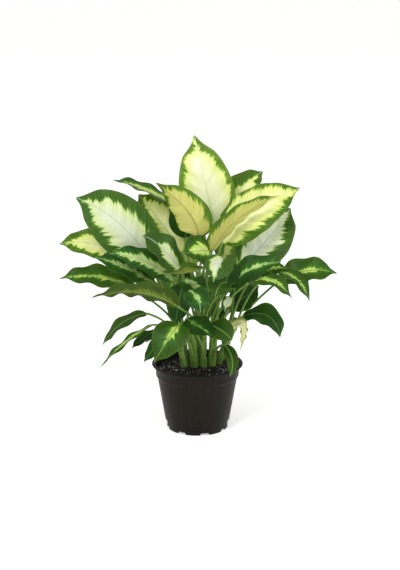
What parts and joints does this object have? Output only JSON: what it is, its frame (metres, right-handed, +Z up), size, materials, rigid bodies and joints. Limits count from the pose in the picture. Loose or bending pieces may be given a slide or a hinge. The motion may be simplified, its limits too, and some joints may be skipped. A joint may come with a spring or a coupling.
{
  "type": "potted dieffenbachia",
  "caption": "Bushy variegated foliage plant, green and cream pointed leaves on short canes, in a round black nursery pot.",
  "frame": {"origin": "middle of the pot's foot, on the surface it stands on", "axes": "+Z up along the pot's axis; the plant's front looks along -Y; +X is the plant's right as seen from the front"},
  "size_m": [0.456, 0.284, 0.483],
  "materials": {
    "pot_plastic": "black moulded polypropylene, faint sheen",
    "compost": "damp peat compost with bark and white perlite",
    "cane_skin": "smooth green plant skin with ring scars",
    "leaf_cream": "leaf, cream middle with a feathered green margin, satin",
    "leaf_green": "leaf, green with a pale feather along the midrib, satin",
    "leaf_underside": "leaf seen from below, tan and olive, dull",
    "leaf_withered": "withered leaf, yellow, creased and ragged"
  },
  "bodies": {
    "root": {"cane_crown": "cane_skin", "cane_front_left": "cane_skin", "cane_front_right": "cane_skin", "cane_leaning": "cane_skin", "cane_left": "cane_skin", "cane_rear": "cane_skin", "cane_right": "cane_skin", "leaf_behind_middle": "leaf_green", "leaf_big_left": "leaf_cream", "leaf_big_right": "leaf_cream", "leaf_centre_drooping": "leaf_cream", "leaf_centre_narrow": "leaf_green", "leaf_centre_right": "leaf_green", "leaf_cream_left": "leaf_cream", "leaf_crown": "leaf_cream", "leaf_edge_left": "leaf_green", "leaf_far_right": "leaf_green", "leaf_front_dark": "leaf_green", "leaf_front_drooping": "leaf_green", "leaf_front_left": "leaf_green", "leaf_front_low": "leaf_green", "leaf_front_rim": "leaf_green", "leaf_inner_left": "leaf_green", "leaf_inner_right": "leaf_green", "leaf_left_arching": "leaf_underside", "leaf_left_band": "leaf_cream", "leaf_left_curled": "leaf_green", "leaf_left_front": "leaf_green", "leaf_left_second": "leaf_green", "leaf_left_yellow": "leaf_cream", "leaf_light_corner": "leaf_green", "leaf_low_left_1": "leaf_green", "leaf_low_left_2": "leaf_green", "leaf_low_left_3": "leaf_green", "leaf_low_left_4": "leaf_green", "leaf_low_right": "leaf_green", "leaf_mint": "leaf_green", "leaf_over_rim": "leaf_green", "leaf_rear_1": "leaf_cream", "leaf_rear_2": "leaf_cream", "leaf_rear_3": "leaf_cream", "leaf_rear_4": "leaf_green", "leaf_rear_5": "leaf_green", "leaf_rear_6": "leaf_green", "leaf_rear_7": "leaf_green", "leaf_rear_8": "leaf_green", "leaf_right_dark": "leaf_green", "leaf_right_front": "leaf_green", "leaf_right_middle": "leaf_green", "leaf_right_second": "leaf_green", "leaf_right_side": "leaf_green", "leaf_right_white": "leaf_cream", "leaf_tan_right": "leaf_underside", "leaf_top_right": "leaf_cream", "leaf_wavy": "leaf_underside", "leaf_withered": "leaf_withered", "leaf_yellow_middle": "leaf_underside", "leaf_yellow_patch": "leaf_green", "pot": "pot_plastic", "soil": "compost"}
  },
  "joints": []
}
